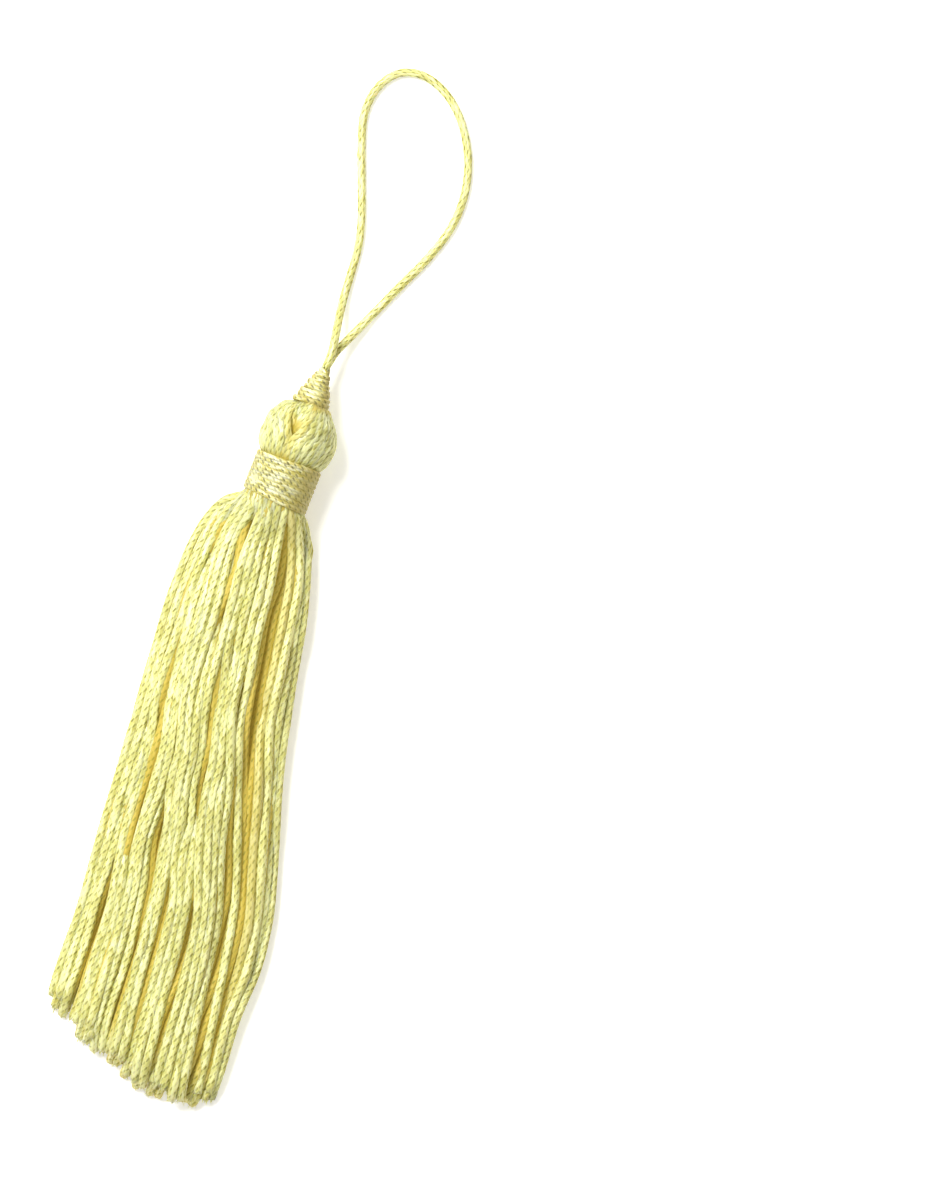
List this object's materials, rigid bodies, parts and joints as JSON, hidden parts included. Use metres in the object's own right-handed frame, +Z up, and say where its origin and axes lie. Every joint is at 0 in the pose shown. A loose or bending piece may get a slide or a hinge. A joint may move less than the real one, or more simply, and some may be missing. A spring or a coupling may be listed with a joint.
{
  "type": "silk tassel",
  "caption": "Tassel of knitted silk-look yarn: a long skirt of cut strands, a wound waist band, a small two-lobed folded head and a free hanging loop of cord. Lies flat.",
  "frame": {"origin": "on the table under the middle of the tassel, its free hanging loop left out", "axes": "+Y along the tassel from the cut ends to the hanging loop, +X across it to the right as seen from above, +Z up from the table it lies on"},
  "size_m": [0.0294, 0.1486, 0.0105],
  "materials": {
    "pale_yarn": "silky knitted yarn, pale lemon yellow",
    "band_yarn": "fine silky yarn, closely wound",
    "neck_yarn": "fine silky yarn, closely wound",
    "cord_yarn": "silky knitted cord, pale lemon yellow"
  },
  "bodies": {
    "root": {"hanging_loop": "cord_yarn", "neck_whipping": "neck_yarn", "waist_band": "band_yarn", "yarn_hank": "pale_yarn"}
  },
  "joints": []
}
